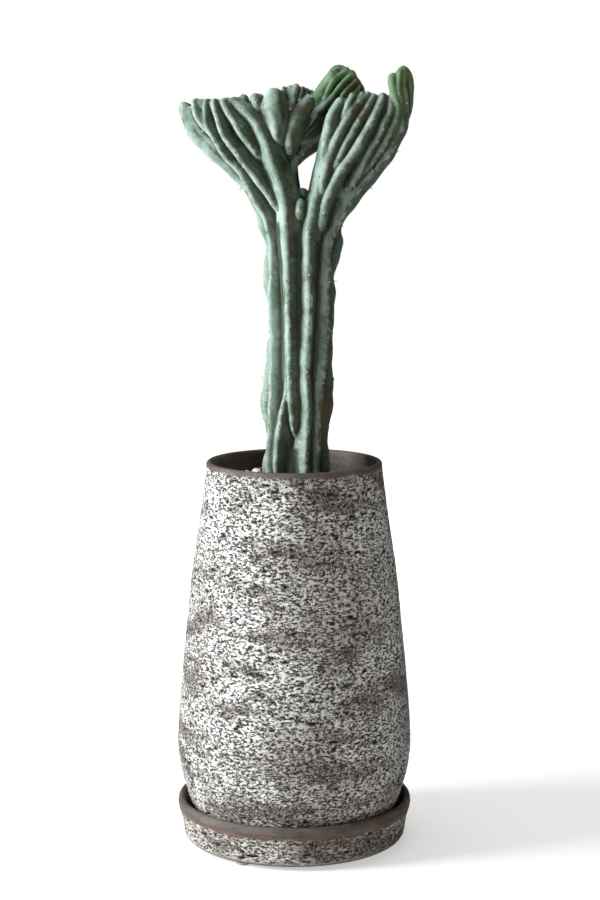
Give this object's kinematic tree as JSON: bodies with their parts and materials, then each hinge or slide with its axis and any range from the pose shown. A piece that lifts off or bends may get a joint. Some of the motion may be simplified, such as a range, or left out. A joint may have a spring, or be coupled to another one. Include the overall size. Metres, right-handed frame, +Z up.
{
  "type": "potted tall cactus",
  "caption": "Tall crested cactus with a fan-shaped top, in a tapered rough stoneware pot with white stones on the soil, on a deep saucer.",
  "frame": {"origin": "centre of the saucer at floor level", "axes": "+Z up along the pot's axis, the wide face of the crest towards -Y, the curled tip of the crest towards +X"},
  "size_m": [0.2428, 0.2428, 0.7962],
  "materials": {
    "pot": "unglazed stoneware with a rough pitted grey and white crust",
    "saucer": "unglazed stoneware with a rough pitted grey and white crust",
    "pad": "matt",
    "net": "matt moulded",
    "soil": "gritty potting mix",
    "stone": "matt white broken stone",
    "skin": "waxy blue-green plant skin with a pale bloom"
  },
  "bodies": {
    "root": {"cactus": "skin", "drain_net": "net", "foot_pad_1": "pad", "foot_pad_2": "pad", "foot_pad_3": "pad", "pot": "pot", "saucer": "saucer", "soil": "soil", "stone_01": "stone", "stone_02": "stone", "stone_03": "stone", "stone_04": "stone", "stone_05": "stone", "stone_06": "stone", "stone_07": "stone", "stone_08": "stone", "stone_09": "stone", "stone_10": "stone", "stone_11": "stone", "stone_12": "stone", "stone_13": "stone", "stone_14": "stone", "stone_15": "stone", "stone_16": "stone", "stone_17": "stone", "stone_18": "stone", "stone_19": "stone", "stone_20": "stone", "stone_21": "stone", "stone_22": "stone", "stone_23": "stone", "stone_24": "stone", "stone_25": "stone", "stone_26": "stone", "stone_27": "stone", "stone_28": "stone", "stone_29": "stone", "stone_30": "stone", "stone_31": "stone", "stone_32": "stone", "stone_33": "stone", "stone_34": "stone", "stone_35": "stone", "stone_36": "stone", "stone_37": "stone", "stone_38": "stone"}
  },
  "joints": []
}
